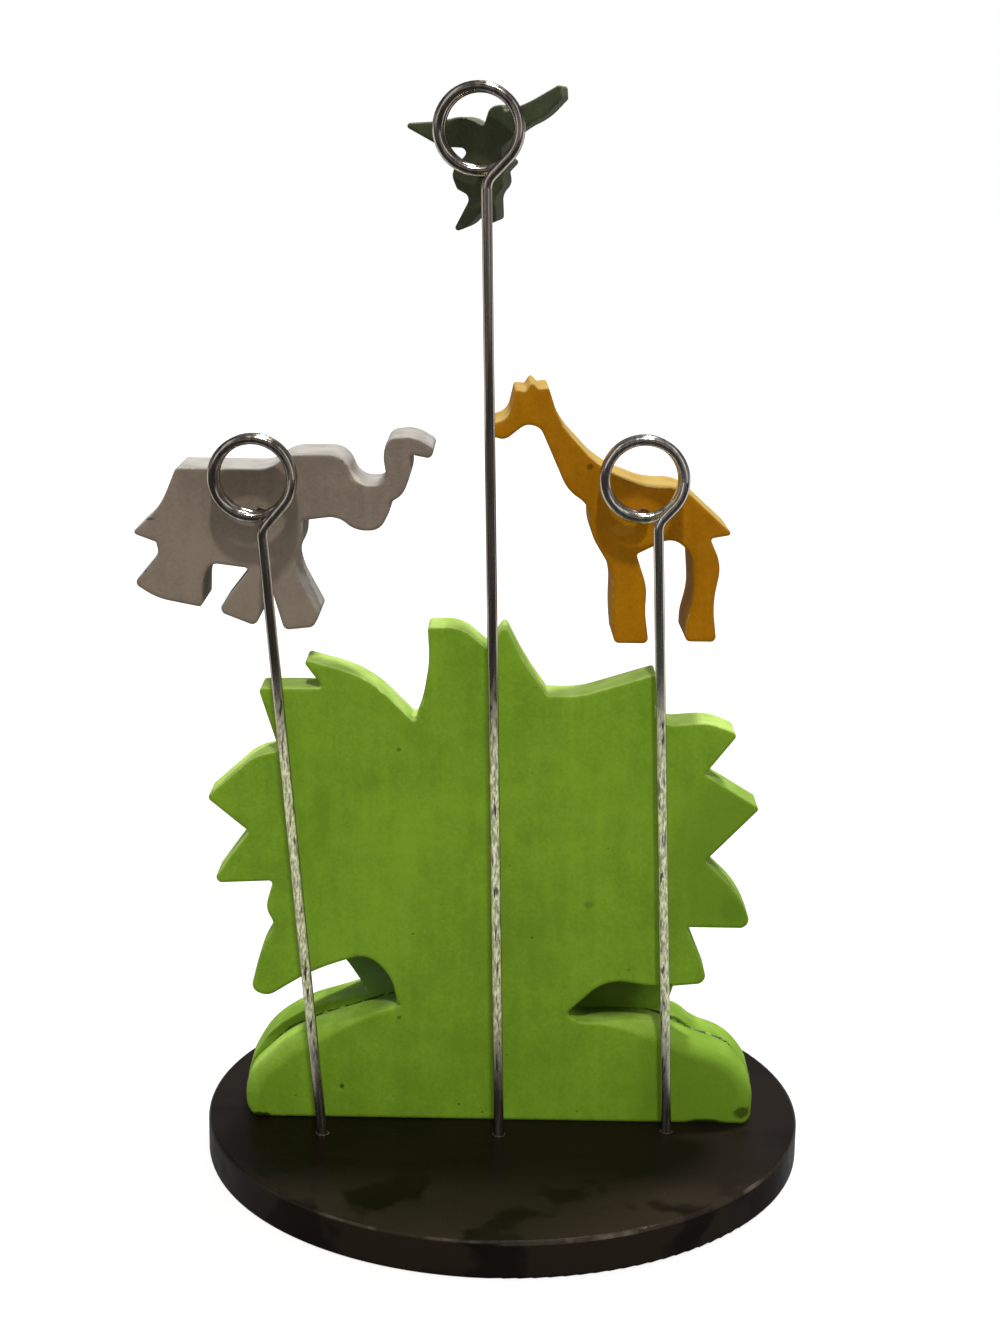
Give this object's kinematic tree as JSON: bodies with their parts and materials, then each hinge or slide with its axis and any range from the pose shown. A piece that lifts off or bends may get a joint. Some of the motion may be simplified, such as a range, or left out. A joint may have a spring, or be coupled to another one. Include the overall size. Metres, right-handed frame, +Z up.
{
  "type": "photo tree stand",
  "caption": "Wooden photo stand: a leafy cut-out bush on a round base, with swivelling wire stems whose coiled loops grip photos and carry flat cut-out animals.",
  "frame": {"origin": "centre of the base disc's underside", "axes": "+Z up, +X to the right as seen from the back of the bush, +Y from the back (the wire side) to the front"},
  "size_m": [0.1646, 0.15, 0.2635],
  "materials": {
    "dark_lacquer": "semi-gloss lacquer",
    "green_paint": "satin paint",
    "screw_steel": "zinc plated",
    "plated_wire": "worn plating",
    "grey_paint": "satin paint",
    "dark_paint": "satin paint",
    "ochre_paint": "satin paint"
  },
  "bodies": {
    "stand": {"base_disc": "dark_lacquer", "bush_back_board": "green_paint", "bush_front_board": "green_paint", "bush_screws": "screw_steel"},
    "elephant_clip": {"elephant_stem": "plated_wire", "elephant": "grey_paint"},
    "parrot_clip": {"parrot_stem": "plated_wire", "parrot": "dark_paint"},
    "giraffe_clip": {"giraffe_stem": "plated_wire", "giraffe": "ochre_paint"}
  },
  "joints": [
    {"name": "elephant_swivel", "type": "hinge", "parent": "stand", "child": "elephant_clip", "pos_m": [-0.0447, -0.0204, 0.0094], "axis": [-0.0889, 0, 0.996], "continuous": true},
    {"name": "parrot_swivel", "type": "hinge", "parent": "stand", "child": "parrot_clip", "pos_m": [-0.0008, -0.0195, 0.0094], "axis": [-0.0262, 0, 0.9997], "continuous": true},
    {"name": "giraffe_swivel", "type": "hinge", "parent": "stand", "child": "giraffe_clip", "pos_m": [0.0411, -0.0161, 0.0094], "axis": [-0.0436, 0, 0.999], "range_deg": [-300, 10]}
  ]
}
